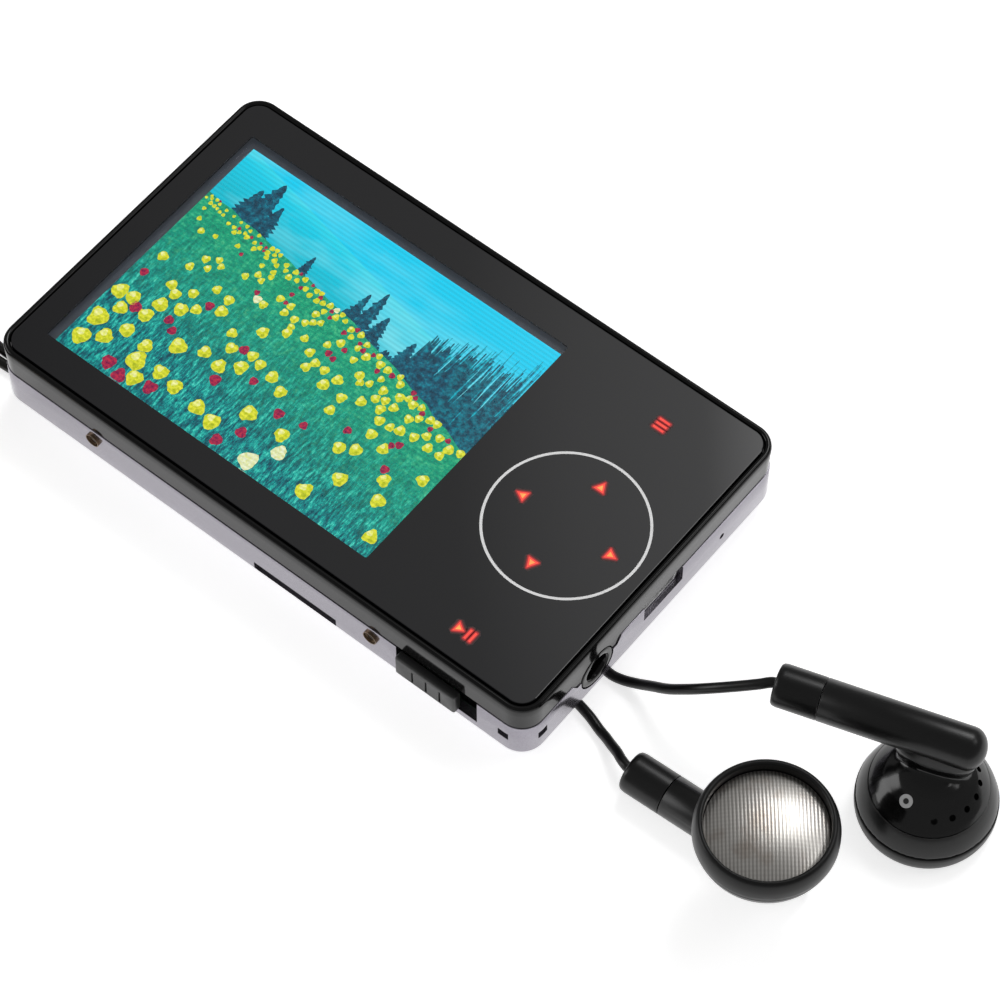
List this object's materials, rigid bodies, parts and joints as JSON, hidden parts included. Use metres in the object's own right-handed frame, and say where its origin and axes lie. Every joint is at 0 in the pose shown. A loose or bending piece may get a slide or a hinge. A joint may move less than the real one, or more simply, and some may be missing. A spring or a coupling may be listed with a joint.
{
  "type": "digital audio player",
  "caption": "Pocket music and video player: glossy black front with a colour screen and touch controls, silver back, slide switch, with wired earphones.",
  "frame": {"origin": "centre of the player's own bounding box, with the slide switch and without the earphones", "axes": "+X along the player towards the end with the headphone socket, +Y across it away from the slide switch, +Z out of the screen"},
  "size_m": [0.1768, 0.0768, 0.0159],
  "materials": {
    "window": "clear polished acrylic, black printed behind",
    "gloss_black": "high gloss",
    "silver_shell": "fine metallic paint, satin",
    "steel": "bright plated",
    "matt_black": "matt moulded",
    "amber_film": "polyimide film",
    "lcd_glass": "glass",
    "foil": "foil",
    "foam": "foam",
    "green_board": "solder mask",
    "chip_black": "moulded",
    "lamp": "lit lamp",
    "white_plastic": "moulded",
    "red_wire": "smooth",
    "black_wire": "smooth",
    "earbud_black": "satin to gloss",
    "grille": "pressed and perforated",
    "lead_rubber": "satin"
  },
  "bodies": {
    "player": {"front_window": "window", "bezel_frame": "gloss_black", "socket_collar": "gloss_black", "rear_shell": "silver_shell", "mid_frame": "steel", "side_screw_near_1": "steel", "side_screw_near_2": "steel", "side_screw_far_1": "steel", "side_screw_far_2": "steel", "crystal": "steel", "card_socket": "steel", "usb_shell": "steel", "microphone": "steel", "switch_housing": "steel", "plug_pin": "steel", "left_bud_driver": "steel", "right_bud_driver": "steel", "mask_film": "matt_black", "headphone_socket": "matt_black", "usb_tongue": "matt_black", "touch_film": "amber_film", "lcd_flex": "amber_film", "lcd_panel": "lcd_glass", "lcd_backlight": "foil", "battery": "foil", "battery_pad": "foam", "touch_board": "green_board", "main_board": "green_board", "processor_chip": "chip_black", "memory_chip": "chip_black", "mark_led_1": "lamp", "mark_led_2": "lamp", "mark_led_3": "lamp", "mark_led_4": "lamp", "mark_led_5": "lamp", "mark_led_6": "lamp", "light_guide": "white_plastic", "battery_lead_red": "red_wire", "battery_lead_black": "black_wire", "left_bud_back": "earbud_black", "right_bud_back": "earbud_black", "left_stem_cap": "earbud_black", "right_stem_cap": "earbud_black", "left_bud_rim": "earbud_black", "right_bud_rim": "earbud_black", "left_bud_grille": "grille", "right_bud_grille": "grille", "left_lead": "lead_rubber", "right_lead": "lead_rubber", "left_lead_tail": "lead_rubber", "right_lead_tail": "lead_rubber", "main_lead": "lead_rubber", "plug_lead": "lead_rubber", "main_lead_coil": "lead_rubber", "branch_lead_coil": "lead_rubber", "coil_tie": "lead_rubber", "lead_splitter": "lead_rubber", "plug_grip": "lead_rubber"},
    "slide_switch": {"switch_cap": "matt_black", "switch_slider": "white_plastic"}
  },
  "joints": [
    {"name": "switch_slide", "type": "slide", "parent": "player", "child": "slide_switch", "axis": [1, 0, 0], "range_m": [0, 0.0022]}
  ]
}
